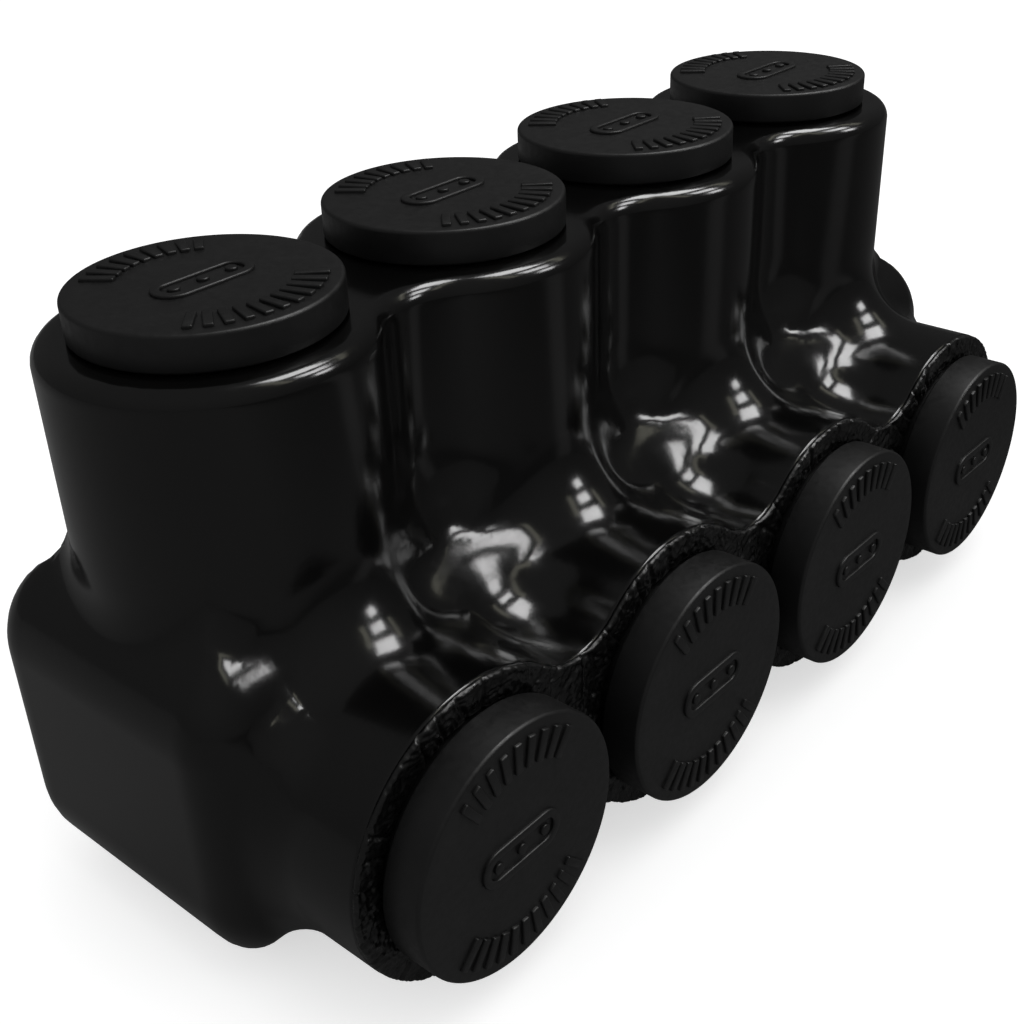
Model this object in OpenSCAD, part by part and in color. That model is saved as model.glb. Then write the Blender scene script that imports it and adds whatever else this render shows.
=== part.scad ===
// Insulated multi-tap connector: a drilled metal bar in one moulded black jacket.
// Each tap has a cable port in front and a clamping screw under a tower on top.
// X runs along the row, the ports face -Y and the screws are reached from +Z.
// All sizes are in millimetres.

/* [Row] */
// Centre distance between neighbouring taps
pitch = 28.6; // [27.5:0.1:32]

/* [Jacket] */
// Outside diameter of each tower and of each cable tube
shell_d = 29.3; // [28:0.1:31]
// Radius of the valleys between neighbouring towers and tubes
valley_r = 7.7; // [5:0.1:9]
// Inside radius of the bend from a tower to its tube
bend_r = 5.7; // [3:0.1:8]
// Rounding of the tower tops
rim_r = 1.75; // [0.8:0.05:2.5]
// Rounding of the long body's edges along the row and across its ends
edge_r = 8; // [5:0.1:9]
// Rounding of the long body's upright edges
corner_r = 5.1; // [3:0.1:6]
// Jacket thickness under the metal bar and behind it
jacket_wall = 2.8; // [2.4:0.1:3.6]
// Jacket thickness past both ends of the metal bar
end_wall = 3.6; // [3:0.1:5]
// Jacket thickness in front of the metal bar
front_wall = 5; // [4:0.1:5.5]
// Jacket thickness above the metal bar, up to the body's shoulders
shoulder_wall = 6.8; // [5:0.1:7.4]
// Height of the tower tops above the port axes
tower_rise = 39.6; // [37:0.1:50]
// Distance from the screw axes to the front faces of the tubes
tube_reach = 27.7; // [25:0.1:40]
// Diameter of the screw well in each tower
well_d = 20.4; // [19:0.1:22]
// Diameter of the cable passage in each tube
entry_d = 22.8; // [20:0.1:23]

/* [Metal bar] */
// Height of the bar's top above the port axes
bar_rise = 12.2; // [11.6:0.1:13]
// Depth of the bar's underside below the port axes
bar_drop = 13.2; // [12:0.1:16]
// Distance from the screw axes to the bar's front face
bar_front = 11.2; // [10.6:0.1:11.6]
// Distance from the screw axes to the bar's back face
bar_back = 14.2; // [12.4:0.1:22]
// Metal past the axes of the two end taps
bar_end = 14.2; // [13.6:0.1:16]
// Bevel along the edges of the bar
bar_bevel = 2; // [1.2:0.1:2.5]
// Diameter of each conductor port
port_d = 16.4; // [12:0.1:17]

/* [Clamping screws] */
// Outside diameter of the screws
screw_d = 15.9; // [11:0.1:16.5]
// Length of a screw
screw_len = 18; // [12:0.5:19]
// Key size across the flats of the socket
key_af = 7.94; // [4:0.01:9]
// Depth of the key socket
key_depth = 9; // [4:0.5:10]
// How far the threaded holes reach below the port axes
hole_drop = 3; // [0:0.1:4]
// Bevel at both ends of a screw
screw_bevel = 1.2; // [0.4:0.1:2]
// Height of the screw tips above the ports when the ports are open
tip_rise = 0.5; // [0.3:0.1:1.5]

/* [Screw plugs] */
// Head diameter of the plugs on the towers
cap_d = 23.2; // [22:0.1:25]
// Head thickness of the plugs on the towers
cap_t = 3.2; // [2:0.1:5]
// Length of the hollow stem below the head
cap_stem = 7; // [4:0.5:9]

/* [Port plugs] */
// Head diameter of the plugs on the tubes
plug_d = 24.7; // [23.5:0.1:27]
// Head thickness of the plugs on the tubes
plug_t = 4; // [2:0.1:6]
// Length of the hollow stem behind the head
plug_stem = 9.6; // [5:0.1:12]

/* [Both plugs] */
// Wall of the hollow stems
stem_wall = 1.9; // [1.2:0.1:3]
// Rounding of the outer edge of a head
head_round = 0.35; // [0.1:0.05:0.8]
// Height of the raised bars and pips on the heads
mark_h = 0.3; // [0.1:0.05:0.8]
// Width of a raised bar
mark_w = 0.85; // [0.5:0.05:1.2]
// Length of a raised bar in the two fans
mark_len = 3; // [1.5:0.1:3.5]
// Distance from the fans' outer ends to the edge of the head
mark_inset = 1.2; // [0.8:0.1:2]
// Length of the raised frame in the middle of a head
frame_len = 9.8; // [6:0.1:11]
// Height of the raised frame in the middle of a head
frame_w = 3.9; // [3:0.1:5]
// Diameter of the pips in the frame
pip_d = 1.1; // [0.6:0.1:1.5]

/* [Fits] */
// Clearance around a screw, on the radius
screw_gap = 0.05; // [0.02:0.01:0.1]
// Clearance around a plug's stem, on the radius
stem_gap = 0.08; // [0.02:0.01:0.1]
// Space between a tower top and the head of its plug
cap_gap = 0.2; // [0.05:0.05:0.5]
// Space between a tube's front face and the head of its plug
plug_gap = 0.6; // [0.1:0.1:1]

/* [Hidden] */
$fn = 96;
// Number of taps in the row
taps = 4;
// How far a cutter runs past the face it opens
over = 1;
// How deep a raised mark is rooted in its head
root = 0.2;
// Bars in the upper and in the lower fan of a head, and the angle between two bars
upper_bars = 9;
lower_bars = 11;
bar_step = 9;
// Pips in the frame of a head
pips = 3;
// How far the webs between the towers stay off the towers' own axes
web_slack = 0.2;
// How far the cutters of the valleys bite into the towers, so that the faces cross cleanly
valley_bite = 0.01;
// How far the long body stays under the surface of the valleys
valley_cover = 0.5;

shell_r = shell_d / 2;
// The body's flat bottom is at height 0
port_z = bar_drop + jacket_wall;
body_rise = bar_rise + shoulder_wall;
body_front = bar_front + front_wall;
body_back = bar_back + jacket_wall;
tower_top = port_z + tower_rise;
front_reach = tube_reach + plug_gap + plug_t + mark_h;
// The screw axes lie off the middle, so that the whole part is centred on the origin
row_y = (front_reach - body_back) / 2;
row_half = (taps - 1) * pitch / 2;
body_x = row_half + bar_end + end_wall;
bar_top = port_z + bar_rise;
// The bend's radius at the row of axes, and the height where it begins
turn_r = shell_r + bend_r;
turn_z = port_z + turn_r;
// Distance of a valley's centre from the row of axes
valley_y = sqrt(pow(shell_r + valley_r, 2) - pow(pitch / 2, 2));
screw_tip = port_z + port_d / 2 + tip_rise;

function tap_x(tap) = (tap - (taps + 1) / 2) * pitch;

module at_each_tap() {
    for (tap = [1:taps]) translate([tap_x(tap), 0]) children();
}

// Everything between two neighbouring axes, out to the centres of the valleys
module row_web() {
    for (tap = [1:taps - 1]) translate([tap_x(tap), 0])
        polygon([[web_slack, 0], [pitch / 2, -valley_y], [pitch - web_slack, 0], [pitch / 2, valley_y]]);
}

module at_each_valley() {
    for (tap = [1:taps - 1], side = [-1, 1])
        translate([tap_x(tap) + pitch / 2, side * valley_y]) children();
}

// Outline of the row: a circle at each tap, joined by round valleys
module row_outline() {
    at_each_tap() circle(r = shell_r);
    difference() {
        row_web();
        at_each_valley() circle(r = valley_r + valley_bite);
    }
}

// Profile of a tower's rounded rim, from the axis outwards
module rim_profile() {
    square([shell_r - rim_r, rim_r]);
    intersection() {
        translate([shell_r - rim_r, 0]) circle(r = rim_r);
        square([shell_r, rim_r]);
    }
}

// Profile of the cutter that carries the same rounding through a valley
module valley_rim_profile() {
    difference() {
        square([valley_r + valley_bite + rim_r, rim_r + over]);
        translate([valley_r + valley_bite + rim_r, 0]) circle(r = rim_r);
    }
}

module towers() {
    straight = tower_top - rim_r - turn_z;
    translate([0, row_y, turn_z]) linear_extrude(straight) row_outline();
    translate([0, row_y, turn_z + straight]) {
        at_each_tap() rotate_extrude() rim_profile();
        difference() {
            linear_extrude(rim_r) row_web();
            at_each_valley() rotate_extrude() valley_rim_profile();
        }
    }
}

// The bends between the towers and the tubes, and the tubes themselves
module tubes() {
    translate([0, row_y - turn_r, turn_z]) rotate([-90, 0, 0]) rotate([0, -90, 0])
        rotate_extrude(angle = 90) translate([turn_r, 0]) rotate(90) row_outline();
    translate([0, row_y - turn_r, port_z]) rotate([90, 0, 0])
        linear_extrude(tube_reach - turn_r) row_outline();
}

module rounded_rectangle(w, h, r) {
    for (x = [-1, 1], y = [-1, 1]) translate([x * (w / 2 - r), y * (h / 2 - r)]) circle(r = r);
    square([w, h - 2 * r], center = true);
    square([w - 2 * r, h], center = true);
}

// Moves to the middle of a box whose four sides are measured from the axes of the taps
module at_middle(front, back, drop, rise) {
    translate([0, row_y + (back - front) / 2, port_z + (rise - drop) / 2]) children();
}

module rounded_body() {
    w = 2 * body_x;
    d = body_front + body_back;
    h = port_z + body_rise;
    at_middle(body_front, body_back, port_z, body_rise) intersection() {
        linear_extrude(h, center = true) rounded_rectangle(w, d, corner_r);
        rotate([90, 0, 0]) linear_extrude(d, center = true) rounded_rectangle(w, h, edge_r);
        rotate([90, 0, 90]) linear_extrude(w, center = true) rounded_rectangle(d, h, edge_r);
    }
}

// The long body, held back under the valleys, so that its shoulders show past the end taps only
module long_body() {
    difference() {
        rounded_body();
        translate([0, row_y - turn_r, turn_z]) rotate([0, 90, 0])
            cylinder(r = turn_r - valley_y + valley_r + valley_cover, h = 2 * row_half, center = true);
    }
}

module bevelled_rectangle(w, h) {
    x = w / 2;
    y = h / 2;
    b = bar_bevel;
    polygon([[b - x, -y], [x - b, -y], [x, b - y], [x, y - b], [x - b, y], [b - x, y], [-x, y - b], [-x, b - y]]);
}

// The metal bar before drilling; the jacket holds it on all sides
module bar_blank() {
    w = 2 * (row_half + bar_end);
    d = bar_front + bar_back;
    h = bar_drop + bar_rise;
    at_middle(bar_front, bar_back, bar_drop, bar_rise) intersection() {
        linear_extrude(h, center = true) bevelled_rectangle(w, d);
        rotate([90, 0, 0]) linear_extrude(d, center = true) bevelled_rectangle(w, h);
        rotate([90, 0, 90]) linear_extrude(w, center = true) bevelled_rectangle(d, h);
    }
}

module insulation_jacket() {
    color([0.03, 0.03, 0.035]) difference() {
        union() {
            towers();
            tubes();
            long_body();
        }
        bar_blank();
        translate([0, row_y, bar_top]) at_each_tap()
            cylinder(d = well_d, h = tower_top - bar_top + over);
        translate([0, row_y - bar_front, port_z]) rotate([90, 0, 0]) at_each_tap()
            cylinder(d = entry_d, h = tube_reach - bar_front + over);
    }
}

module connector_block() {
    color([0.78, 0.79, 0.8]) difference() {
        bar_blank();
        translate([0, row_y + bar_back + over, port_z]) rotate([90, 0, 0]) at_each_tap()
            cylinder(d = port_d, h = bar_front + bar_back + 2 * over);
        translate([0, row_y, port_z - hole_drop]) at_each_tap()
            cylinder(r = screw_d / 2 + screw_gap, h = bar_rise + hole_drop + over);
    }
}

module set_screw(tap) {
    r = screw_d / 2;
    b = screw_bevel;
    color([0.7, 0.71, 0.73]) translate([tap_x(tap), row_y, screw_tip]) difference() {
        union() {
            cylinder(r1 = r - b, r2 = r, h = b);
            translate([0, 0, b]) cylinder(r = r, h = screw_len - 2 * b);
            translate([0, 0, screw_len - b]) cylinder(r1 = r, r2 = r - b, h = b);
        }
        translate([0, 0, screw_len - key_depth])
            cylinder(d = key_af / cos(30), h = key_depth + over, $fn = 6);
    }
}

// A fan of raised bars, centred on the given angle
module mark_fan(bars, middle, outer_r) {
    for (bar = [0:bars - 1])
        rotate(middle + (bar - (bars - 1) / 2) * bar_step)
            translate([outer_r - mark_len, -mark_w / 2, -root])
            cube([mark_len, mark_w, mark_h + root]);
}

module slot_shape(w, h) {
    for (side = [-1, 1]) translate([side * (w - h) / 2, 0]) circle(d = h);
    square([w - h, h], center = true);
}

// Raised marks on a head: a frame with pips between two fans of bars
module head_marks(head_r) {
    mark_fan(upper_bars, 90, head_r - mark_inset);
    mark_fan(lower_bars, -90, head_r - mark_inset);
    translate([0, 0, -root]) linear_extrude(mark_h + root) {
        difference() {
            slot_shape(frame_len, frame_w);
            slot_shape(frame_len - 2 * mark_w, frame_w - 2 * mark_w);
        }
        for (pip = [1:pips])
            translate([(pip - (pips + 1) / 2) * (frame_len - frame_w) / 2, 0]) circle(d = pip_d);
    }
}

// Half section of a plug: a rounded head with a hollow stem, the head's top at height 0
module plug_profile(head_r, head_t, stem_r, stem_len, gap) {
    polygon([[0, -head_t], [0, 0], [head_r - head_round, 0], [head_r, -head_round], [head_r, -head_t]]);
    translate([head_r - head_round, -head_round]) circle(r = head_round);
    translate([stem_r - stem_wall, -head_t - gap - stem_len])
        square([stem_wall, stem_len + gap + root]);
}

module plug(head_r, head_t, stem_r, stem_len, gap) {
    rotate_extrude() plug_profile(head_r, head_t, stem_r, stem_len, gap);
    head_marks(head_r);
}

module screw_plug(tap) {
    color([0.05, 0.05, 0.055])
        translate([tap_x(tap), row_y, tower_top + cap_gap + cap_t])
        plug(cap_d / 2, cap_t, well_d / 2 - stem_gap, cap_stem, cap_gap);
}

module port_plug(tap) {
    color([0.05, 0.05, 0.055])
        translate([tap_x(tap), row_y - tube_reach - plug_gap - plug_t, port_z]) rotate([90, 0, 0])
        plug(plug_d / 2, plug_t, entry_d / 2 - stem_gap, plug_stem, plug_gap);
}

insulation_jacket();
connector_block();
set_screw(1);  // set_screw_1
set_screw(2);  // set_screw_2
set_screw(3);  // set_screw_3
set_screw(4);  // set_screw_4
screw_plug(1);  // screw_plug_1
screw_plug(2);  // screw_plug_2
screw_plug(3);  // screw_plug_3
screw_plug(4);  // screw_plug_4
port_plug(1);  // port_plug_1
port_plug(2);  // port_plug_2
port_plug(3);  // port_plug_3
port_plug(4);  // port_plug_4
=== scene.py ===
import math

import bpy
import numpy as np
from mathutils import Matrix, Vector


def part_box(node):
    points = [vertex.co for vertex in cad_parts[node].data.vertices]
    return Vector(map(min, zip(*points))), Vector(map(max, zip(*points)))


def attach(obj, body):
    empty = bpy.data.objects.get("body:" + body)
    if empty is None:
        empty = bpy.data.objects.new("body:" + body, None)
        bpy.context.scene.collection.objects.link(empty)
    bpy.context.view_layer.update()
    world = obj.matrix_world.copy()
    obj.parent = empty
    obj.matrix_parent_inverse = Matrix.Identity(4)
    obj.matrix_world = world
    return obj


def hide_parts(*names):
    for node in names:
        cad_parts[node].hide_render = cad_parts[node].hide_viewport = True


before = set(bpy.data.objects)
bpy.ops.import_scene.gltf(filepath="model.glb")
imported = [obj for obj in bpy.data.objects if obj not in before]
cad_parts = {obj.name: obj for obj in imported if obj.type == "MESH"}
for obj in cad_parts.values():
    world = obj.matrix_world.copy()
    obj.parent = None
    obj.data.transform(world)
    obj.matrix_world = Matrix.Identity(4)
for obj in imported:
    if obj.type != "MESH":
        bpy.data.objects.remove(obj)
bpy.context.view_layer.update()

# Lengths are in millimetres, apart from those that a comment gives in metres
MM = 0.001
TAPS = 4


def node_box(node):
    """Lowest and highest corner of a CAD node, in millimetres."""
    low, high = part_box(node)
    return np.array(low) / MM, np.array(high) / MM


jacket_low, jacket_high = node_box("insulation_jacket")
bar_low, bar_high = node_box("connector_block")
screw_low, screw_high = node_box("set_screw_1")
cap_high = node_box("screw_plug_1")[1]
plug_low, plug_high = node_box("port_plug_1")

# Places that the frame gives
PITCH = (np.mean(node_box("set_screw_4"), axis=0)[0] - (screw_low[0] + screw_high[0]) / 2) / (TAPS - 1)
ROW_HALF = PITCH * (TAPS - 1) / 2
ROW_Y = (screw_low[1] + screw_high[1]) / 2
PORT_Z = (plug_low[2] + plug_high[2]) / 2
TOWER_RISE = jacket_high[2] - PORT_Z
TUBE_REACH = ROW_Y - jacket_low[1]
BODY_END = jacket_high[0] - ROW_HALF
BODY_BACK = jacket_high[1] - ROW_Y
BAR_RISE = bar_high[2] - PORT_Z
BAR_FRONT = ROW_Y - bar_low[1]

# Jacket
SHELL_R = 14.65
VALLEY_R = 7.7
BEND_R = 7.54
RIM_R = 1.75
FACE_R = 0.45
WELL_R = 10.2
ENTRY_R = 11.4
MOUTH_R = 0.45
BODY_FRONT = 16.2
BODY_SHOULDER = 19.0
LONG_EDGE_R = 9.6
CORNER_R = 5.1
FOOT_R = 5.0
CHIN_R = 4.8
CHIN_FADE = (1, 5)
PRISM_PAST = 6.0
BAR_BEVEL = 2.0
BAR_SLACK = 0.03
VALLEY_Y = math.sqrt((SHELL_R + VALLEY_R) ** 2 - (PITCH / 2) ** 2)

# The body between the taps; a fade is where it is nothing and where it is whole
WEB_FRONT = 22.47
WEB_SHOULDER = 17.37
WEB_EDGE_R = 15.48
WEB_FOOT_R = 7.6
WEB_DIP = 1.25
WEB_DIP_POWER = 2.44
WEB_CREST = 1.81
WEB_CREST_FADE = (11, 19)
WEB_END_FADE = (ROW_HALF + 9, ROW_HALF + 1)
WEB_BACK_FADE = (2, -4)
WEB_LOW_FADE = (-4, 3)

# Reach over which normals are averaged between the taps, away from the tube faces and the rims
EASE = 1.0
EASE_FACE_FADE = (-TUBE_REACH + 2, -TUBE_REACH + 5)
EASE_RIM_FADE = (TOWER_RISE - 4, TOWER_RISE - 8)

# Grid of the jacket's mesh, finer at the tube faces and the rims
GRID_MARGIN = 0.9
GRID_STEP = 0.86
FACE_STEP = 0.3
FACE_FINE = 1.2
RIM_STEP = 0.4
RIM_FINE = 2.2
RIM_PAST = 0.5

# Limits in the arithmetic: a length that isn't zero, and the cosine of slopes that count as parallel
TINY = 1e-9
PARALLEL = 0.999

# Rough skin on the front faces of the tubes: sizes of its folds and crumbs, and its seams
GRAIN_DEEP = 0.3
GRAIN_HIGH = 0.13
FOLD_SIZE = 0.62
FOLD_SHARE = 0.6
CRUMB_SIZE = 0.36
WARP = 0.35
WARP_SIZE = 1.1
SEAMS = 34
SEAM_DEEP = 0.22
SEAM_WIDE = 0.22
SEAM_BEND = 0.25
SEAM_BEND_SIZE = 2.3
SEAMS_MISSING = 0.3
HASH_WEIGHTS = (127.1, 311.7, 74.7)
HASH_SCALE = 43758.5453

# Edges of that skin
SKIN_GAP = 0.06
SKIN_INSET = 0.25
SKIN_SUNK = 0.15
SKIN_EDGE_DEEP = 0.25
SKIN_EDGE_WIDE = 0.16
SKIN_SHARED = 0.02

# Plugs
CAP_R = 11.6
CAP_T = 3.2
CAP_STEM = 7.0
PLUG_R = 12.35
PLUG_T = 4.0
PLUG_STEM = 9.6
STEM_GAP = 0.08
STEM_WALL = 1.9
HEAD_ROUND = 0.35
HEAD_FLAT = 1.0
EDGE_ROUND = 0.2
CENTRE_R = 0.6
MARK_H = 0.3
MARK_W = 0.85
MARK_LEN = 3.0
MARK_INSET = 1.2
MARK_ROUND = 0.14
MARK_ROOT = 0.15
FRAME_LEN = 9.8
FRAME_W = 3.9
PIP_R = 0.55
UPPER_BARS = 9
LOWER_BARS = 11
FAN_STEP = math.radians(9)

# Screws
SCREW_R = 7.95
THREAD_PITCH = 1.5
THREAD_DEEP = 0.8
THREAD_CREST = 1.25
THREAD_SLOPE = 3
SCREW_BEVEL = 1.2
KEY_AF = 7.94
KEY_DEPTH = 9.0
KEY_FLARE = 1.0
KEY_FLARE_DEEP = 0.5
KEY_CONE_R = 0.4
KEY_CONE_DEEP = 1.2

# Dull plating: bright metal would look nearly black in the dim room
PLATING = 0.55

# The photograph's viewpoint, fitted to the eight plug heads: degrees and millimetres
CAMERA_AZIMUTH = -48.05
CAMERA_ELEVATION = 30.21
CAMERA_ROLL = -2.33
CAMERA_LEFT = 107.25
CAMERA_FORWARD = 90.64
CAMERA_UP = 83.09
SENSOR_WIDTH = 36
LENS = 49.12

# Floor, and the shares of white at which the glossy part mirrors it and the room
FLOOR_HALF = 1500.0
FLOOR_PALE = 0.7
FLOOR_LIFT = 0.6
MIRRORED_FLOOR = 0.27
MIRRORED_FLOOR_FAR = 0.11
# Painted reflection: the extra share of white on a lighter wedge of the mirrored floor
MIRRORED_STRETCH = 0.18
ROOM_MIRRORED = 0.096
ROOM_SIDE = 0.056
ROOM_HIGH = 0.08
ROOM_LIGHT = 0.72

# Azimuths in degrees: where the mirrored floor is darker, which is painted shade that only reflections show,
# and where the mirrored room is lighter
FLOOR_DARK_SIDE = 50
ROOM_LIGHT_SIDE = -60

# The mirrored floor, in metres and azimuths: where it darkens, as painted shade, and its lighter stretch, a
# painted reflection band
FLOOR_TURN = 0.0
FLOOR_END = 0.1
STRETCH_ANGLE = math.radians(33)
STRETCH_CORE = math.radians(5)
STRETCH_EDGE = math.radians(12)
STRETCH_NEAR = 0.05
STRETCH_FAR = 0.08

# The wide soft lamp of the plain light: degrees, radiance and metres
SOFTBOX_AZIMUTH = 20
SOFTBOX_ELEVATION = 70
SOFTBOX_WIDE = 40
SOFTBOX_RADIANCE = 1.2
SOFTBOX_AWAY = 0.9

# The one window that the vinyl mirrors: degrees, metres and radiances
WINDOW_AZIMUTH = 66
WINDOW_ELEVATION = 47
WINDOW_TURN = 42
WINDOW_AWAY = 3.0
PANE = 12.0
STRIP = 1.6
DAY = (1, 1, 1)
WARM = (1, 0.98, 0.8)

# Each pane's place and size in the window's plane in degrees, its radiance and its colour
WINDOW = [
    (-23.3, 7.3, 9.6, 12.3, PANE, DAY),
    (-5.8, 11.7, 11.2, 16.4, PANE, DAY),
    (16.8, 11.8, 16.4, 24.0, PANE, DAY),
    (-1.5, 29.2, 31.0, 5.8, STRIP, WARM),
    (2.8, -7.2, 22.4, 4.2, STRIP, WARM),
]


def tap_x(tap):
    """Place of a tap along the row; taps count from 0."""
    return (tap - (TAPS - 1) / 2) * PITCH


# Distance fields, negative inside


def rounded(a, b, r):
    """The inside of both fields, with their edge rounded."""
    a = a + r
    b = b + r
    return np.hypot(np.maximum(a, 0), np.maximum(b, 0)) + np.minimum(np.maximum(a, b), 0) - r


def smooth_step(low, high, value):
    """0 at low and 1 at high, with a soft start and end."""
    t = np.clip((value - low) / (high - low), 0, 1)
    return t * t * (3 - 2 * t)


def from_tap(x):
    """The nearest tap's index and the distance to its axis."""
    tap = np.clip(np.round(x / PITCH + (TAPS - 1) / 2), 0, TAPS - 1)
    return tap, x - tap_x(tap)


def row_outline(x, s):
    """Outline of the row, at the distance s from the line of axes: circles joined by round valleys."""
    tap, dx = from_tap(x)
    s = np.abs(s)
    circle = np.hypot(dx, s) - SHELL_R
    valley = VALLEY_R - np.hypot(np.abs(dx) - PITCH / 2, s - VALLEY_Y)
    has_neighbour = np.where(dx > 0, tap < TAPS - 1, tap > 0)
    in_web = has_neighbour & (np.abs(dx) * VALLEY_Y > s * PITCH / 2)
    return np.where(in_web, valley, circle)


def towers(x, y, z):
    """The screw towers: upright prisms with round rims."""
    side = rounded(row_outline(x, y), z - TOWER_RISE, RIM_R)
    return rounded(side, -z - PRISM_PAST, 0)


def tubes(x, y, z):
    """The cable tubes: level prisms, with room for the skin on their faces."""
    side = rounded(row_outline(x, z), -y - TUBE_REACH + GRAIN_DEEP, FACE_R)
    return rounded(side, y - PRISM_PAST, 0)


def between_taps(x, y, z):
    """1 on the upper front between the end taps, 0 at the ends, the back and the underside."""
    inner = smooth_step(*WEB_END_FADE, np.abs(x))
    return inner * smooth_step(*WEB_BACK_FADE, y) * smooth_step(*WEB_LOW_FADE, z)


def long_body(x, y, z):
    """The body along the row; it swells between the taps, with a dip halfway that ends in a crest."""
    web = between_taps(x, y, z)
    edge_r = LONG_EDGE_R + (WEB_EDGE_R - LONG_EDGE_R) * web
    front = BODY_FRONT + (WEB_FRONT - BODY_FRONT) * web
    shoulder = BODY_SHOULDER + (WEB_SHOULDER - BODY_SHOULDER) * web
    end = np.abs(x) - ROW_HALF - BODY_END
    side = rounded(end, np.maximum(y - BODY_BACK, -y - front), CORNER_R)
    above = rounded(side, z - shoulder, edge_r)
    below = rounded(side, -z - PORT_Z, LONG_EDGE_R)
    halfway = (0.5 - 0.5 * np.cos(2 * math.pi * from_tap(x)[1] / PITCH)) ** WEB_DIP_POWER
    dip = WEB_DIP - WEB_CREST * smooth_step(*WEB_CREST_FADE, z)
    return np.where(z > 0, above, below) + dip * halfway * web


def foot_radius(x, y, z):
    """Fillet between the body and the rest: widest between the taps."""
    upper = FOOT_R + (WEB_FOOT_R - FOOT_R) * between_taps(x, y, z)
    low = smooth_step(*CHIN_FADE, -z)
    return upper + (CHIN_R - upper) * low


def slope_of(field, x, y, z, step=0.01):
    """Unit gradient of a field."""
    rise = np.stack([field(x + step, y, z) - field(x - step, y, z),
                     field(x, y + step, z) - field(x, y - step, z),
                     field(x, y, z + step) - field(x, y, z - step)], -1)
    return rise / np.maximum(np.linalg.norm(rise, axis=-1, keepdims=True), TINY)


def ball_fillet(first, second, r):
    """Two solids joined by the fillet of a rolling ball; each solid is a field and its slopes."""
    a, slope_a = first
    b, slope_b = second
    between = np.clip((slope_a * slope_b).sum(-1), -PARALLEL, PARALLEL)
    u = r - a
    v = r - b
    along_a = (u - v * between) / (1 - between * between)
    along_b = (v - u * between) / (1 - between * between)
    in_fillet = (along_a > 0) & (along_b > 0) & (u > 0) & (v > 0)
    to_centre = along_a[..., None] * slope_a + along_b[..., None] * slope_b
    length = np.linalg.norm(to_centre, axis=-1)
    nearer = np.where((a < b)[..., None], slope_a, slope_b)
    slope = np.where(in_fillet[..., None], to_centre / np.maximum(length, TINY)[..., None], nearer)
    return np.where(in_fillet, r - length, np.minimum(a, b)), slope


def metal_room(x, y, z):
    """The room of the bevelled metal bar."""
    a = np.abs(x) - bar_high[0] - BAR_SLACK
    b = np.abs(y + ROW_Y - (bar_low[1] + bar_high[1]) / 2) - (bar_high[1] - bar_low[1]) / 2 - BAR_SLACK
    c = np.abs(z + PORT_Z - (bar_low[2] + bar_high[2]) / 2) - (bar_high[2] - bar_low[2]) / 2 - BAR_SLACK
    flat = np.maximum(np.maximum(a, b), c)
    slant = np.maximum(np.maximum(a + b, b + c), a + c) + BAR_BEVEL
    return np.maximum(flat, slant / math.sqrt(2))


def hollows(x, y, z):
    """The screw wells and the cable passages, down to the metal."""
    dx = from_tap(x)[1]
    well = np.maximum(np.hypot(dx, y) - WELL_R, BAR_RISE - z)
    passage = np.maximum(np.hypot(dx, z) - ENTRY_R, y + BAR_FRONT)
    return np.minimum(well, passage)


def jacket_field(points):
    """The whole jacket, at points in millimetres."""
    x = points[..., 0]
    y = points[..., 1] - ROW_Y
    z = points[..., 2] - PORT_Z
    solids = [(solid(x, y, z), slope_of(solid, x, y, z)) for solid in (towers, tubes, long_body)]
    taps = ball_fillet(solids[0], solids[1], BEND_R)
    outside = ball_fillet(taps, solids[2], foot_radius(x, y, z))[0]
    opened = rounded(outside, -hollows(x, y, z), MOUTH_R)
    return np.maximum(opened, -metal_room(x, y, z))


def gradient(field, points, step=0.002):
    """Unit gradient of a field at the given points, and the length it had."""
    sides = [field(points + step * axis) - field(points - step * axis) for axis in np.eye(3)]
    slope = np.stack(sides, -1) / (2 * step)
    length = np.linalg.norm(slope, axis=-1, keepdims=True)
    return slope / np.maximum(length, TINY), length


def eased_normals(points):
    """Normals of the jacket; between the taps they are averaged, so that creases turn softly."""
    normals = gradient(jacket_field, points)[0]
    x = points[:, 0]
    y = points[:, 1] - ROW_Y
    z = points[:, 2] - PORT_Z
    inside = smooth_step(*EASE_FACE_FADE, y) * smooth_step(*EASE_RIM_FADE, z)
    share = between_taps(x, y, z) * inside
    eased = share > 0
    total = normals[eased].copy()
    for axis in np.eye(3):
        for side in (-EASE, EASE):
            total += gradient(jacket_field, points[eased] + side * axis)[0]
    total /= np.maximum(np.linalg.norm(total, axis=-1, keepdims=True), TINY)
    normals[eased] += share[eased][:, None] * (total - normals[eased])
    return normals / np.linalg.norm(normals, axis=-1, keepdims=True)


# Meshes


def graded_steps(low, high, coarse, fine=None, fine_from=None, fine_to=None):
    """Grid planes from low to high, closer together in the fine stretch."""
    if fine is None:
        return np.linspace(low, high, int(round((high - low) / coarse)) + 1)
    cuts = [(low, fine_from, coarse), (fine_from, fine_to, fine), (fine_to, high, coarse)]
    parts = [np.linspace(a, b, max(int(round((b - a) / h)), 1) + 1)[:-1] for a, b, h in cuts if b > a]
    return np.append(np.concatenate(parts), high)


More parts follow.
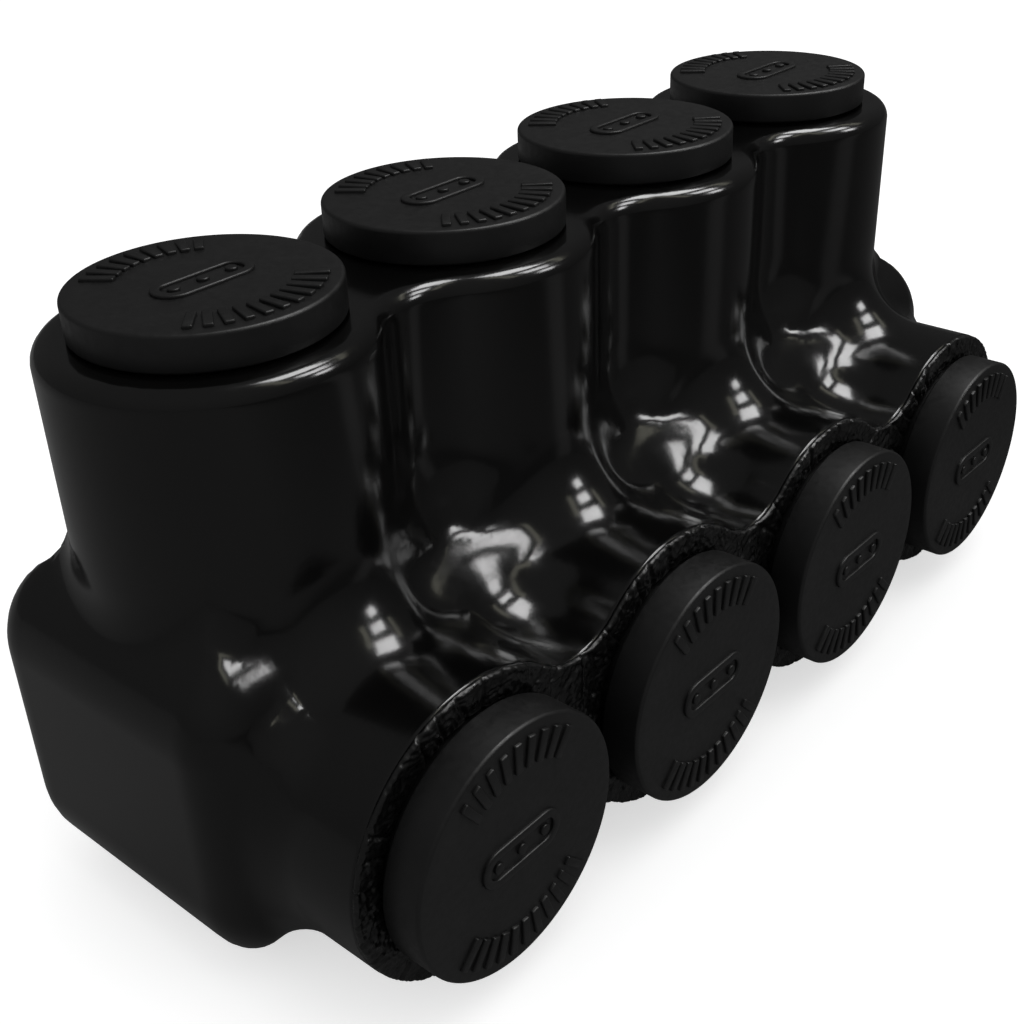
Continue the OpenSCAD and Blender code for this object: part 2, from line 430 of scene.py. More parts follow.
def cell_points(values, grid, active):
    """For each active cell, the mean of the points where its edges cross the surface."""
    cells = np.argwhere(active)
    total = np.zeros((len(cells), 3))
    count = np.zeros(len(cells))
    for axis in range(3):
        others = [a for a in range(3) if a != axis]
        for u in (0, 1):
            for v in (0, 1):
                start = cells.copy()
                start[:, others[0]] += u
                start[:, others[1]] += v
                end = start.copy()
                end[:, axis] += 1
                f0 = values[tuple(start.T)]
                f1 = values[tuple(end.T)]
                crossed = (f0 < 0) != (f1 < 0)
                t = np.where(crossed, f0 / np.where(crossed, f0 - f1, 1), 0)
                p0 = np.stack([grid[a][start[:, a]] for a in range(3)], -1)
                p1 = np.stack([grid[a][end[:, a]] for a in range(3)], -1)
                total += np.where(crossed[:, None], p0 + t[:, None] * (p1 - p0), 0)
                count += crossed
    return total / count[:, None]


def surface_net(field, grid):
    """A closed mesh of quads on the field's zero level: points and faces."""
    values = field(np.stack(np.meshgrid(*grid, indexing="ij"), -1))
    inside = values < 0
    cells = [count - 1 for count in inside.shape]
    corners = np.zeros(cells, int)
    for i, j, k in np.ndindex(2, 2, 2):
        corners += inside[i:cells[0] + i, j:cells[1] + j, k:cells[2] + k]
    active = (corners > 0) & (corners < 8)
    number = np.full(active.shape, -1)
    number[active] = np.arange(active.sum())
    faces = []
    for axis in range(3):
        solid = np.moveaxis(inside, axis, 0)
        cell = np.moveaxis(number, axis, 0)
        leaves = solid[:-1] & ~solid[1:]
        enters = ~solid[:-1] & solid[1:]
        for crossing, outward in ((leaves, True), (enters, False)):
            i, j, k = np.nonzero(crossing[:, 1:-1, 1:-1])
            quad = np.stack([cell[i, j, k], cell[i, j + 1, k], cell[i, j + 1, k + 1], cell[i, j, k + 1]], -1)
            flipped = outward == (axis == 1)
            faces.append(quad[:, ::-1] if flipped else quad)
    return cell_points(values, grid, active), np.concatenate(faces)


def settled(field, points, rounds=4, most=0.25, least_slope=0.3):
    """Moves the points onto the zero level."""
    for _ in range(rounds):
        slope, length = gradient(field, points)
        shift = field(points)[:, None] / np.maximum(length, least_slope)
        points = points - slope * np.clip(shift, -most, most)
    return points


def mesh_object(name, points, faces, normals=None, smooth=True):
    """A new object from points in millimetres and faces."""
    mesh = bpy.data.meshes.new(name)
    mesh.from_pydata((np.asarray(points) * MM).tolist(), [], [list(map(int, face)) for face in faces])
    mesh.validate()
    mesh.polygons.foreach_set("use_smooth", [smooth] * len(mesh.polygons))
    if normals is not None:
        mesh.normals_split_custom_set_from_vertices(np.asarray(normals).tolist())
    mesh.update()
    thing = bpy.data.objects.new(name, mesh)
    bpy.context.scene.collection.objects.link(thing)
    return thing


def soften(thing, degrees=40):
    """Smooth shading, with creases kept at edges sharper than the angle."""
    thing.data.set_sharp_from_angle(angle=math.radians(degrees))


def stacked_rings(rings):
    """Points and faces of a stack of rings, closed at both ends; each ring is an array of points."""
    count = len(rings[0])
    points = np.concatenate(rings)
    faces = []
    for ring in range(len(rings) - 1):
        base = ring * count
        for i in range(count):
            j = (i + 1) % count
            faces.append((base + i, base + j, base + count + j, base + count + i))
    faces.append(tuple(range(count))[::-1])
    faces.append(tuple(range((len(rings) - 1) * count, len(rings) * count)))
    return points, faces


def looped_rings(rings, inward):
    """Points and faces of rings of which the last joins the first; inward turns the faces round."""
    count = len(rings[0])
    faces = []
    for ring in range(len(rings)):
        base = ring * count
        after = (ring + 1) % len(rings) * count
        for i in range(count):
            j = (i + 1) % count
            if inward:
                faces.append((base + i, after + i, after + j, base + j))
            else:
                faces.append((base + i, base + j, after + j, after + i))
    return np.concatenate(rings), faces


def ring_angles(count):
    return np.arange(count) * 2 * math.pi / count


def level_ring(radius, angle, height):
    """One ring about the Z axis; its radius is a number or one number for each angle."""
    return np.stack([radius * np.cos(angle), radius * np.sin(angle), np.full(len(angle), float(height))], -1)


def circle_ring(radius, height, count):
    return level_ring(radius, ring_angles(count), height)


def joined(parts):
    """Several (points, faces) as one."""
    points = []
    faces = []
    offset = 0
    for part_points, part_faces in parts:
        points.append(np.asarray(part_points))
        faces += [tuple(int(i) + offset for i in face) for face in part_faces]
        offset += len(part_points)
    return np.concatenate(points), faces


# Jacket


def build_jacket():
    low = jacket_low - GRID_MARGIN
    high = jacket_high + GRID_MARGIN
    rim = jacket_high[2]
    grid = [
        graded_steps(low[0], high[0], GRID_STEP),
        graded_steps(low[1], high[1], GRID_STEP, FACE_STEP, low[1], jacket_low[1] + FACE_FINE),
        graded_steps(low[2], high[2], GRID_STEP, RIM_STEP, rim - RIM_FINE, rim + RIM_PAST),
    ]
    points, faces = surface_net(jacket_field, grid)
    points = settled(jacket_field, points)
    thing = mesh_object("jacket_shell", points, faces, eased_normals(points))
    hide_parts("insulation_jacket")
    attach(thing, "housing")
    return thing


def lattice_hash(i, j, seed):
    """A repeatable number from 0 to 1 for each cell of a lattice."""
    for_i, for_j, for_seed = HASH_WEIGHTS
    mixed = np.sin(i * for_i + j * for_j + seed * for_seed) * HASH_SCALE
    return mixed - np.floor(mixed)


def value_noise(x, y, size, seed):
    """Smooth noise from -1 to 1 with features of the given size."""
    u = x / size
    v = y / size
    i = np.floor(u)
    j = np.floor(v)
    fu = u - i
    fv = v - j
    fu = fu * fu * (3 - 2 * fu)
    fv = fv * fv * (3 - 2 * fv)
    low = lattice_hash(i, j, seed) * (1 - fu) + lattice_hash(i + 1, j, seed) * fu
    high = lattice_hash(i, j + 1, seed) * (1 - fu) + lattice_hash(i + 1, j + 1, seed) * fu
    return (low * (1 - fv) + high * fv) * 2 - 1


def grain_height(x, z, dx, dz):
    """Height of the rough skin: crumpled grains, cut by seams that run out from each tube's axis."""
    warp = WARP * value_noise(x, z, WARP_SIZE, seed=5)
    folds = 1 - 2 * np.abs(value_noise(x + warp, z - warp, FOLD_SIZE, seed=1))
    crumbs = 1 - 2 * np.abs(value_noise(x - warp, z, CRUMB_SIZE, seed=2))
    height = GRAIN_HIGH * (FOLD_SHARE * folds + (1 - FOLD_SHARE) * crumbs)
    turns = np.arctan2(dz, dx) / (2 * math.pi)
    bent = turns * SEAMS + SEAM_BEND * value_noise(x, z, SEAM_BEND_SIZE, seed=3)
    cell = np.round(bent)
    kept = lattice_hash(cell, np.round(x / PITCH), seed=8) > SEAMS_MISSING
    gap = np.abs(bent - cell) / SEAMS * 2 * math.pi * np.hypot(dx, dz)
    seam = np.where(kept, np.exp(-(gap / SEAM_WIDE) ** 2), 0)
    return height - SEAM_DEEP * seam


def reach_of_outline(tap, direction, furthest=22.0, halvings=40):
    """Distance from a tube's axis to the edge of its share of the front face, in each direction."""
    near = np.full(len(direction), ENTRY_R)
    far = np.full(len(direction), furthest)
    has_left = tap > 0
    has_right = tap < TAPS - 1
    for _ in range(halvings):
        middle = (near + far) / 2
        dx = direction[:, 0] * middle
        side = row_outline(tap_x(tap) + dx, direction[:, 1] * middle)
        past = np.where(dx > 0, has_right & (dx > PITCH / 2), has_left & (dx < -PITCH / 2))
        out = past | (side > 0)
        far = np.where(out, middle, far)
        near = np.where(out, near, middle)
    return near


def grain_patch(tap, around=720, across=26):
    """Closed slab of rough skin on one tube's share of the front face."""
    angle = (np.arange(around) + 0.5) * 2 * math.pi / around
    direction = np.stack([np.cos(angle), np.sin(angle)], -1)
    outer = reach_of_outline(tap, direction)
    inner = ENTRY_R + SKIN_INSET
    at_edge = np.abs(np.abs(direction[:, 0] * outer) - PITCH / 2) > SKIN_SHARED
    rings = []
    for step in range(across + 1):
        share = step / across
        radius = inner + (outer - SKIN_GAP - inner) * share + np.where(at_edge, 0, SKIN_GAP) * share
        dx = direction[:, 0] * radius
        dz = direction[:, 1] * radius
        height = grain_height(tap_x(tap) + dx, dz, dx, dz)
        to_rim = np.minimum((outer - radius) + np.where(at_edge, 0, PITCH), radius - inner)
        height = height - SKIN_EDGE_DEEP * np.exp(-(to_rim / SKIN_EDGE_WIDE) ** 2)
        rings.append(np.stack([tap_x(tap) + dx, ROW_Y - TUBE_REACH - height, PORT_Z + dz], -1))
    back = ROW_Y - TUBE_REACH + GRAIN_DEEP + SKIN_SUNK
    for ring in (rings[-1], rings[0]):
        closing = ring.copy()
        closing[:, 1] = back
        rings.append(closing)
    return looped_rings(rings, inward=True)


def build_grain():
    points, faces = joined([grain_patch(tap) for tap in range(TAPS)])
    thing = mesh_object("jacket_front_grain", points, faces)
    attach(thing, "housing")
    return thing


# Plugs


def arc_points(centre_r, centre_z, radius, start, end, steps):
    """Profile points along an arc, angles in degrees from outwards to up."""
    angles = np.radians(np.linspace(start, end, steps + 1))
    return [(centre_r + radius * math.cos(a), centre_z + radius * math.sin(a)) for a in angles]


def plug_profile(head_r, head_t, stem_r, stem_len, gap):
    """From the middle of the top, over the head and the stem, to the middle of the hollow."""
    r = EDGE_ROUND
    bottom = -head_t - gap - stem_len
    inner = stem_r - STEM_WALL
    profile = [(CENTRE_R, 0), (head_r - HEAD_ROUND - HEAD_FLAT, 0)]
    profile += arc_points(head_r - HEAD_ROUND, -HEAD_ROUND, HEAD_ROUND, 90, 0, steps=6)
    profile += arc_points(head_r - r, -head_t + r, r, 0, -90, steps=4)
    profile += [(stem_r, -head_t)]
    profile += arc_points(stem_r - r, bottom + r, r, 0, -90, steps=4)
    profile += arc_points(inner + r, bottom + r, r, -90, -180, steps=4)
    profile += [(inner, -head_t), (CENTRE_R, -head_t)]
    return profile


def turned(profile, count=160):
    """A profile of (radius, height), turned about the Z axis."""
    return stacked_rings([circle_ring(r, z, count) for r, z in profile[::-1]])


def soft_bar(length, width, height, root, turn, least_r=0.02):
    """A raised bar with rounded top edges; it starts at the origin and runs outwards along X."""
    levels = [(0, -root), (0, height - turn)]
    for angle in np.radians((30, 60, 90)):
        levels.append((turn * (1 - math.cos(angle)), height - turn + turn * math.sin(angle)))
    rings = []
    for inset, z in levels:
        corner = []
        for sx, sy, start in ((1, 1, 0), (-1, 1, 90), (-1, -1, 180), (1, -1, 270)):
            for angle in np.radians(np.linspace(start, start + 90, 4)):
                radius = max(turn - inset, least_r)
                x = length / 2 + sx * (length / 2 - turn) + radius * math.cos(angle)
                y = sy * (width / 2 - turn) + radius * math.sin(angle)
                corner.append((x, y, z))
        rings.append(np.array(corner))
    return stacked_rings(rings)


def placed(part, angle, radius):
    """A part turned about the axis and moved outwards."""
    points, faces = part
    c = math.cos(angle)
    s = math.sin(angle)
    moved = points + np.array([radius, 0, 0])
    x = c * moved[:, 0] - s * moved[:, 1]
    y = s * moved[:, 0] + c * moved[:, 1]
    return np.stack([x, y, moved[:, 2]], -1), faces


def slot_frame():
    """The raised frame: a rounded ridge along a slot-shaped line."""
    straight = (FRAME_LEN - FRAME_W) / 2
    middle_r = (FRAME_W - MARK_W) / 2
    half_turn = np.linspace(-math.pi / 2, math.pi / 2, 17)
    path = [(straight + middle_r * math.cos(a), middle_r * math.sin(a)) for a in half_turn]
    path += [(-x, -y) for x, y in path]
    path = np.array(path)
    tangent = np.roll(path, -1, axis=0) - np.roll(path, 1, axis=0)
    side = np.stack([tangent[:, 1], -tangent[:, 0]], -1)
    side /= np.linalg.norm(side, axis=-1, keepdims=True)
    half = MARK_W / 2
    section = [(half, -MARK_ROOT), (half, MARK_H - MARK_ROUND)]
    section += arc_points(half - MARK_ROUND, MARK_H - MARK_ROUND, MARK_ROUND, 0, 90, steps=3)
    section += [(-a, b) for a, b in section[::-1]]
    rings = [np.concatenate([path + side * a, np.full((len(path), 1), b)], -1) for a, b in section]
    return looped_rings(rings, inward=False)


def pip(x):
    """A small domed pip on the head."""
    levels = [(PIP_R, -MARK_ROOT), (PIP_R, MARK_H - MARK_ROUND)]
    levels += arc_points(PIP_R - MARK_ROUND, MARK_H - MARK_ROUND, MARK_ROUND, 30, 90, steps=3)
    points, faces = stacked_rings([circle_ring(r, z, count=24) for r, z in levels])
    return points + np.array([x, 0, 0]), faces


def head_marks(head_r):
    """Two fans of bars and a frame with three pips, in place of the lettering."""
    bar = soft_bar(MARK_LEN, MARK_W, MARK_H, MARK_ROOT, MARK_ROUND)
    start = head_r - MARK_INSET - MARK_LEN
    parts = []
    for bars, middle in ((UPPER_BARS, math.pi / 2), (LOWER_BARS, -math.pi / 2)):
        for i in range(bars):
            parts.append(placed(bar, middle + (i - (bars - 1) / 2) * FAN_STEP, start))
    parts.append(slot_frame())
    aside = (FRAME_LEN - FRAME_W) / 2
    parts += [pip(x) for x in (-aside, 0, aside)]
    return parts


def plug_parts(head_r, head_t, stem_r, stem_len, gap):
    body = turned(plug_profile(head_r, head_t, stem_r, stem_len, gap))
    return joined([body] + head_marks(head_r))


def build_plug(node, parts, upright, height):
    """A plug over its CAD node; height is where the top of its head lies."""
    points, faces = parts
    low, high = node_box(node)
    x = (low[0] + high[0]) / 2
    if upright:
        placed_points = points + np.array([x, ROW_Y, height])
    else:
        placed_points = np.stack([points[:, 0] + x, height - points[:, 2], points[:, 1] + PORT_Z], -1)
    thing = mesh_object(node + "_moulded", placed_points, faces)
    soften(thing)
    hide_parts(node)
    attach(thing, node)
    return thing


def build_plugs():
    cap_top = cap_high[2] - MARK_H
    cap_gap = cap_top - CAP_T - jacket_high[2]
    plug_front = plug_low[1] + MARK_H
    plug_gap = jacket_low[1] - plug_front - PLUG_T
    cap = plug_parts(CAP_R, CAP_T, WELL_R - STEM_GAP, CAP_STEM, cap_gap)
    plug = plug_parts(PLUG_R, PLUG_T, ENTRY_R - STEM_GAP, PLUG_STEM, plug_gap)
    made = []
    for tap in range(1, TAPS + 1):
        made.append(build_plug(f"screw_plug_{tap}", cap, True, cap_top))
        made.append(build_plug(f"port_plug_{tap}", plug, False, plug_front))
    return made


# Screws


def hex_ring(across_flats, height, count):
    """One ring of the hexagon socket."""
    angle = ring_angles(count)
    off = np.mod(angle, math.pi / 3) - math.pi / 6
    return level_ring(across_flats / 2 / np.cos(off), angle, height)


def thread_ring(height, length, count):
    """One ring of the threaded flank, with the thread fading at both ends."""
    angle = ring_angles(count)
    phase = np.mod(height / THREAD_PITCH - angle / (2 * math.pi), 1)
    tooth = np.clip(THREAD_CREST - np.abs(phase - 0.5) * THREAD_SLOPE, 0, 1)
    end = min(height, length - height)
    crest = SCREW_R - max(SCREW_BEVEL - end, 0)
    root = SCREW_R - THREAD_DEEP
    return level_ring(np.minimum(root + THREAD_DEEP * tooth, crest), angle, height)


def screw_parts(length, count=96, per_turn=8):
    """A threaded screw that stands on its tip, with the socket in its top."""
    rings = [circle_ring(CENTRE_R, 0.0, count)]
    heights = np.linspace(0, length, int(length / THREAD_PITCH * per_turn) + 1)
    rings += [thread_ring(height, length, count) for height in heights]
    rings.append(hex_ring(KEY_AF + KEY_FLARE, length, count))
    rings.append(hex_ring(KEY_AF, length - KEY_FLARE_DEEP, count))
    rings.append(hex_ring(KEY_AF, length - KEY_DEPTH, count))
    rings.append(circle_ring(KEY_CONE_R, length - KEY_DEPTH - KEY_CONE_DEEP, count))
    return stacked_rings(rings)


def build_screws():
    points, faces = screw_parts(screw_high[2] - screw_low[2])
    made = []
    for tap in range(1, TAPS + 1):
        node = f"set_screw_{tap}"
        place = np.array([tap_x(tap - 1), ROW_Y, screw_low[2]])
        thing = mesh_object(node + "_threaded", points + place, faces)
        soften(thing, degrees=30)
        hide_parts(node)
        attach(thing, node)
        made.append(thing)
    return made


# Materials


class Nodes:
    """Short calls to build a node tree."""

    def __init__(self, name):
        self.material = bpy.data.materials.new(name)
        self.material.use_nodes = True
        self.tree = self.material.node_tree
        self.shader = self.tree.nodes["Principled BSDF"]

    def add(self, kind, inputs=None, **settings):
        """A new node; each input is a socket to link or a constant."""
        node = self.tree.nodes.new(kind)
        for key, value in settings.items():
            setattr(node, key, value)
        for key, value in (inputs or {}).items():
            if hasattr(value, "node"):
                self.tree.links.new(value, node.inputs[key])
            else:
                node.inputs[key].default_value = value
        return node

    def place(self):
        return self.add("ShaderNodeTexCoord").outputs["Object"]

    def noise(self, scale, detail):
        inputs = {"Vector": self.place(), "Scale": scale, "Detail": detail}
        return self.add("ShaderNodeTexNoise", inputs).outputs["Fac"]

    def spread(self, value, low, high, from_low=0.3, from_high=0.7):
        """Maps a value onto a range; noise lies mostly between 0.3 and 0.7."""
        inputs = {"Value": value, "From Min": from_low, "From Max": from_high, "To Min": low, "To Max": high}
        return self.add("ShaderNodeMapRange", inputs).outputs["Result"]

    def colours(self, value, low, high):
        """Mixes two colours by a value."""
        node = self.add("ShaderNodeMix", data_type="RGBA")
        self.tree.links.new(value, node.inputs[0])
        node.inputs[6].default_value = (*low, 1)
        node.inputs[7].default_value = (*high, 1)
        return node.outputs[2]

    def bump(self, height, distance, strength):
        inputs = {"Height": height, "Distance": distance, "Strength": strength}
        return self.add("ShaderNodeBump", inputs).outputs["Normal"]

    def finish(self, **inputs):
        """Sets the shader's own sockets, by names with _ for each space, and gives the material."""
        for key, value in inputs.items():
            socket = self.shader.inputs[key.replace("_", " ")]
            if hasattr(value, "node"):
                self.tree.links.new(value, socket)
            else:
                socket.default_value = value
        return self.material


def vinyl_material():
    """Glossy black vinyl, with faint unevenness."""
    m = Nodes("jacket_vinyl")
    tint = m.spread(m.noise(scale=60, detail=3), 0, 1)
    colour = m.colours(tint, low=(0.0012, 0.0012, 0.0012), high=(0.0022, 0.0021, 0.002))
    rough = m.spread(m.noise(scale=900, detail=3), low=0.13, high=0.17)
    skin = m.bump(m.noise(scale=1500, detail=2), distance=0.00001, strength=0.5)
    return m.finish(Base_Color=colour, Roughness=rough, Normal=skin, IOR=1.5)


def grain_material():
    """The rough moulded skin of the tube faces."""
    m = Nodes("jacket_grain")
    tint = m.spread(m.noise(scale=700, detail=4), 0, 1)
    colour = m.colours(tint, low=(0.0006, 0.0006, 0.0006), high=(0.002, 0.002, 0.002))
    rough = m.spread(m.noise(scale=1200, detail=3), low=0.22, high=0.5)
    fine = m.bump(m.noise(scale=6000, detail=3), distance=0.00003, strength=0.6)
    return m.finish(Base_Color=colour, Roughness=rough, Normal=fine, IOR=1.5)


def plug_material():
    """Satin black plastic of the plugs."""
    m = Nodes("plug_plastic")
    tint = m.spread(m.noise(scale=200, detail=4), 0, 1)
    colour = m.colours(tint, low=(0.004, 0.004, 0.0041), high=(0.006, 0.006, 0.0061))
    rough = m.spread(m.noise(scale=1500, detail=4), low=0.38, high=0.5)
    fine = m.bump(m.noise(scale=9000, detail=3), distance=0.00001, strength=0.5)
    return m.finish(Base_Color=colour, Roughness=rough, Normal=fine, IOR=1.46)


def metal_material(name, low, high, roughness, stretch):
    """Machined metal with fine marks along one axis; roughness is its lowest and highest value."""
    m = Nodes(name)
    scaled = m.add("ShaderNodeMapping", {"Vector": m.place(), "Scale": stretch}).outputs["Vector"]
    marks = m.add("ShaderNodeTexNoise", {"Vector": scaled, "Scale": 1.0, "Detail": 3.0}).outputs["Fac"]
    tint = m.spread(m.noise(scale=120, detail=3), 0, 1)
    colour = m.colours(tint, low, high)
    rough = m.spread(marks, *roughness)
    fine = m.bump(marks, distance=0.00002, strength=0.4)
    return m.finish(Base_Color=colour, Roughness=rough, Normal=fine, Metallic=PLATING)


def screw_material():
    return metal_material("screw_metal", low=(0.5, 0.5, 0.52), high=(0.62, 0.62, 0.64),
                          roughness=(0.18, 0.32), stretch=(300, 300, 3000))


def bar_material():
    return metal_material("bar_metal", low=(0.66, 0.67, 0.68), high=(0.76, 0.77, 0.78),
                          roughness=(0.2, 0.34), stretch=(40, 2500, 2500))


def dress(things, material):
    """Gives pieces their only material."""
    for thing in things:
        thing.data.materials.clear()
        thing.data.materials.append(material)


def dress_node(node, material):
    """Gives a CAD node that stays its material."""
    for material_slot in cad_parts[node].material_slots:
        material_slot.material = material


# Stage


def direction(azimuth, elevation):
    """Unit vector towards an azimuth (0 is -Y, 90 is +X) and elevation in degrees."""
    a = math.radians(azimuth)
    e = math.radians(elevation)
    return Vector((math.sin(a) * math.cos(e), -math.cos(a) * math.cos(e), math.sin(e)))


def facing_axes(azimuth, elevation, roll):
    """Axes X, Y and Z of a camera or lamp that looks back along -Z from there; all in degrees."""
    towards = direction(azimuth, elevation)
    a = math.radians(azimuth)
    t = math.radians(roll)
    level = Vector((math.cos(a), math.sin(a), 0))
    upright = towards.cross(level)
    right = math.cos(t) * level + math.sin(t) * upright
    up = math.cos(t) * upright - math.sin(t) * level
    return right, up, towards


def matrix_of(axes, place):
    """Matrix of an object with these three axes at this place."""
    rows = [(axes[0][i], axes[1][i], axes[2][i], place[i]) for i in range(3)]
    return Matrix(rows + [(0, 0, 0, 1)])


def add_camera():
    data = bpy.data.cameras.new("photo_camera")
    data.sensor_width = SENSOR_WIDTH
    data.lens = LENS
    data.clip_start = 0.005
    camera = bpy.data.objects.new("photo_camera", data)
    place = Vector((-CAMERA_LEFT, ROW_Y - CAMERA_FORWARD, PORT_Z + CAMERA_UP)) * MM
    camera.matrix_world = matrix_of(facing_axes(CAMERA_AZIMUTH, CAMERA_ELEVATION, CAMERA_ROLL), place)
    bpy.context.scene.collection.objects.link(camera)
    bpy.context.scene.camera = camera


def add_pane(name, place, axes, wide, high, radiance, colour):
    """A bright pane that only reflections show."""
    data = bpy.data.lights.new(name, "AREA")
    data.shape = "RECTANGLE"
    data.size = wide
    data.size_y = high
    data.energy = radiance * wide * high * math.pi
    data.color = colour
    lamp = bpy.data.objects.new(name, data)
    lamp.matrix_world = matrix_of(axes, place)
    lamp.visible_camera = False
    lamp.visible_diffuse = False
    bpy.context.scene.collection.objects.link(lamp)


def add_window():
    """The window's panes, in one plane that faces the part."""
    axes = facing_axes(WINDOW_AZIMUTH, WINDOW_ELEVATION, WINDOW_TURN)
    across, along, towards = axes
    middle = Vector((0, 0, PORT_Z * MM))
    for i, (u, v, wide, high, radiance, colour) in enumerate(WINDOW):
        sides = np.radians((u - wide / 2, u + wide / 2, v - high / 2, v + high / 2))
        left, right, low, top = [math.tan(side) * WINDOW_AWAY for side in sides]
        place = middle + towards * WINDOW_AWAY + across * (left + right) / 2 + along * (low + top) / 2
        add_pane(f"window_{i}", place, axes, right - left, top - low, radiance, colour)


def add_softbox():
    """The soft lamp of the plain light, which reflections don't show."""
    data = bpy.data.lights.new("softbox", "AREA")
    data.shape = "DISK"
    data.size = 2 * SOFTBOX_AWAY * math.tan(math.radians(SOFTBOX_WIDE) / 2)
    data.energy = SOFTBOX_RADIANCE * (data.size / 2) ** 2 * math.pi ** 2
    lamp = bpy.data.objects.new("softbox", data)
    towards = direction(SOFTBOX_AZIMUTH, SOFTBOX_ELEVATION)
    lamp.location = Vector((0, 0, PORT_Z * MM)) + towards * SOFTBOX_AWAY
    lamp.rotation_mode = "QUATERNION"
    lamp.rotation_quaternion = towards.to_track_quat("Z", "Y")
    lamp.visible_camera = False
    lamp.visible_glossy = False
    bpy.context.scene.collection.objects.link(lamp)


def build_floor():
    corners = ((-1, -1), (1, -1), (1, 1), (-1, 1))
    points = [(x * FLOOR_HALF, y * FLOOR_HALF, 0) for x, y in corners]
    floor = mesh_object("floor", points, [(0, 1, 2, 3)], smooth=False)
    return floor


def painted_reflection_stretch(m):
    """1 on a wedge of floor that runs away from the part, and 0 elsewhere and close to the part; only
    reflections show it, as a painted lighter band.
    """
    split = m.add("ShaderNodeSeparateXYZ", {0: m.place()})
    forward = m.add("ShaderNodeMath", {0: split.outputs["Y"], 1: -1.0}, operation="MULTIPLY").outputs[0]
    angle = m.add("ShaderNodeMath", {0: split.outputs["X"], 1: forward}, operation="ARCTAN2").outputs[0]
    off = m.add("ShaderNodeMath", {0: angle, 1: STRETCH_ANGLE}, operation="SUBTRACT").outputs[0]
    aside = m.add("ShaderNodeMath", {0: off}, operation="ABSOLUTE").outputs[0]
    away = m.add("ShaderNodeVectorMath", {0: m.place()}, operation="LENGTH").outputs["Value"]
    wedge = m.spread(aside, 1.0, 0.0, STRETCH_CORE, STRETCH_EDGE)
    return m.add("ShaderNodeMath", {0: wedge, 1: m.spread(away, 0.0, 1.0, STRETCH_NEAR, STRETCH_FAR)},
                 operation="MULTIPLY").outputs[0]


def floor_material():
    """Pale floor, lifted to white for the eye; the glossy part mirrors it dimmer, as in the photograph."""
    m = Nodes("floor_pale")
    seen = m.add("ShaderNodeLightPath")
    side = m.add("ShaderNodeVectorMath", {0: m.place(), 1: direction(FLOOR_DARK_SIDE, 0)},
                 operation="DOT_PRODUCT")
    # Painted shade: the mirrored floor turns darker towards one side, and only reflections show it
    plain = m.spread(side.outputs["Value"], MIRRORED_FLOOR, MIRRORED_FLOOR_FAR, FLOOR_TURN, FLOOR_END)
    # Painted reflection: a lighter wedge of floor that only reflections show
    share = m.add("ShaderNodeMath", {0: painted_reflection_stretch(m), 1: MIRRORED_STRETCH, 2: plain},
                  operation="MULTIPLY_ADD").outputs[0]
    eye = seen.outputs["Is Camera Ray"]
    glass = seen.outputs["Is Transmission Ray"]
    direct = m.add("ShaderNodeMath", {0: eye, 1: glass}, operation="ADD", use_clamp=True)
    shown = m.add("ShaderNodeMath", {0: seen.outputs["Is Glossy Ray"], 1: share, 2: direct.outputs[0]},
                  operation="MULTIPLY_ADD")
    lit = m.add("ShaderNodeMath", {0: shown.outputs[0], 1: seen.outputs["Is Diffuse Ray"]},
                operation="ADD", use_clamp=True)
    colour = m.colours(lit.outputs[0], (0.0, 0.0, 0.0), (FLOOR_PALE, FLOOR_PALE, FLOOR_PALE))
    lift = m.add("ShaderNodeMath", {0: direct.outputs[0], 1: FLOOR_LIFT}, operation="MULTIPLY")
    return m.finish(Base_Color=colour, Roughness=0.9, Specular_IOR_Level=0.0, Emission_Color=(1, 1, 1, 1),
                    Emission_Strength=lift.outputs[0])


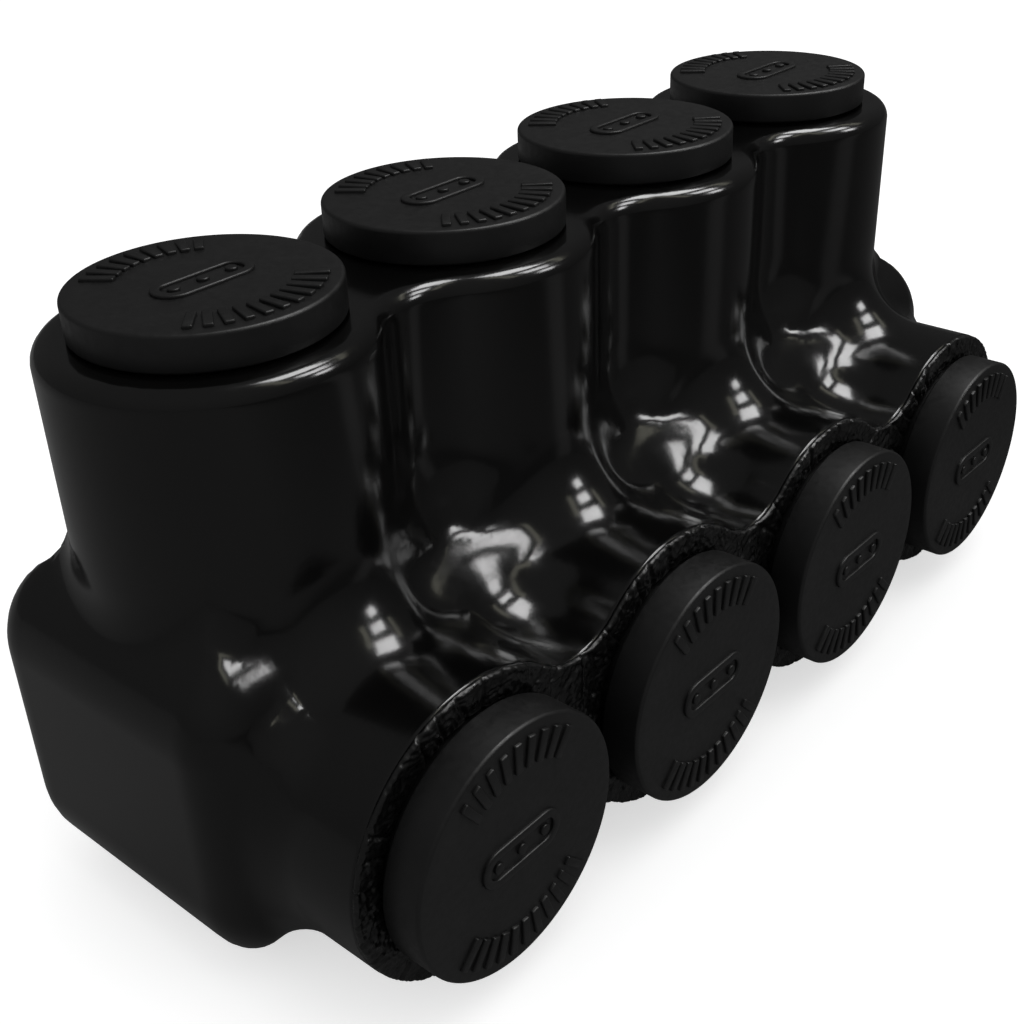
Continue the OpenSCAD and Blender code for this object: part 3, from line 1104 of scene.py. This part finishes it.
def world_math(tree, operation, *inputs, clamp=False):
    """Output of a new math node in the world's tree; each input is a socket or a number."""
    node = tree.nodes.new("ShaderNodeMath")
    node.operation = operation
    node.use_clamp = clamp
    for i, value in enumerate(inputs):
        if hasattr(value, "node"):
            tree.links.new(value, node.inputs[i])
        else:
            node.inputs[i].default_value = value
    return node.outputs[0]


def mirrored_room(tree):
    """Brightness of the room in reflections: a little more overhead and on the near left side."""
    place = tree.nodes.new("ShaderNodeTexCoord").outputs["Generated"]
    side = tree.nodes.new("ShaderNodeVectorMath")
    side.operation = "DOT_PRODUCT"
    side.inputs[1].default_value = direction(ROOM_LIGHT_SIDE, 0)
    tree.links.new(place, side.inputs[0])
    split = tree.nodes.new("ShaderNodeSeparateXYZ")
    tree.links.new(place, split.inputs[0])
    high = world_math(tree, "MAXIMUM", split.outputs["Z"], 0.0)
    total = world_math(tree, "MULTIPLY_ADD", side.outputs["Value"], ROOM_SIDE, ROOM_MIRRORED)
    return world_math(tree, "MULTIPLY_ADD", high, ROOM_HIGH, total)


def light_world():
    """White for the eye and through glass; a dim room for reflections; soft light for the rest."""
    world = bpy.data.worlds.new("studio")
    world.use_nodes = True
    bpy.context.scene.world = world
    tree = world.node_tree
    tree.nodes.clear()
    seen = tree.nodes.new("ShaderNodeLightPath")
    output = tree.nodes.new("ShaderNodeOutputWorld")
    shade = tree.nodes.new("ShaderNodeBackground")
    eye = seen.outputs["Is Camera Ray"]
    glass = seen.outputs["Is Transmission Ray"]
    direct = world_math(tree, "ADD", eye, glass, clamp=True)
    mirrored = world_math(tree, "MULTIPLY_ADD", seen.outputs["Is Glossy Ray"], mirrored_room(tree), direct)
    whole = world_math(tree, "MULTIPLY_ADD", seen.outputs["Is Diffuse Ray"], ROOM_LIGHT, mirrored)
    shade.inputs["Color"].default_value = (1, 1, 1, 1)
    tree.links.new(whole, shade.inputs["Strength"])
    tree.links.new(shade.outputs[0], output.inputs["Surface"])


jacket = build_jacket()
grain = build_grain()
plugs = build_plugs()
screws = build_screws()
floor = build_floor()

dress([jacket], vinyl_material())
dress([grain], grain_material())
dress(plugs, plug_material())
dress(screws, screw_material())
dress_node("connector_block", bar_material())
dress([floor], floor_material())

bpy.context.scene.view_settings.view_transform = "Standard"
add_camera()
light_world()
add_window()
add_softbox()
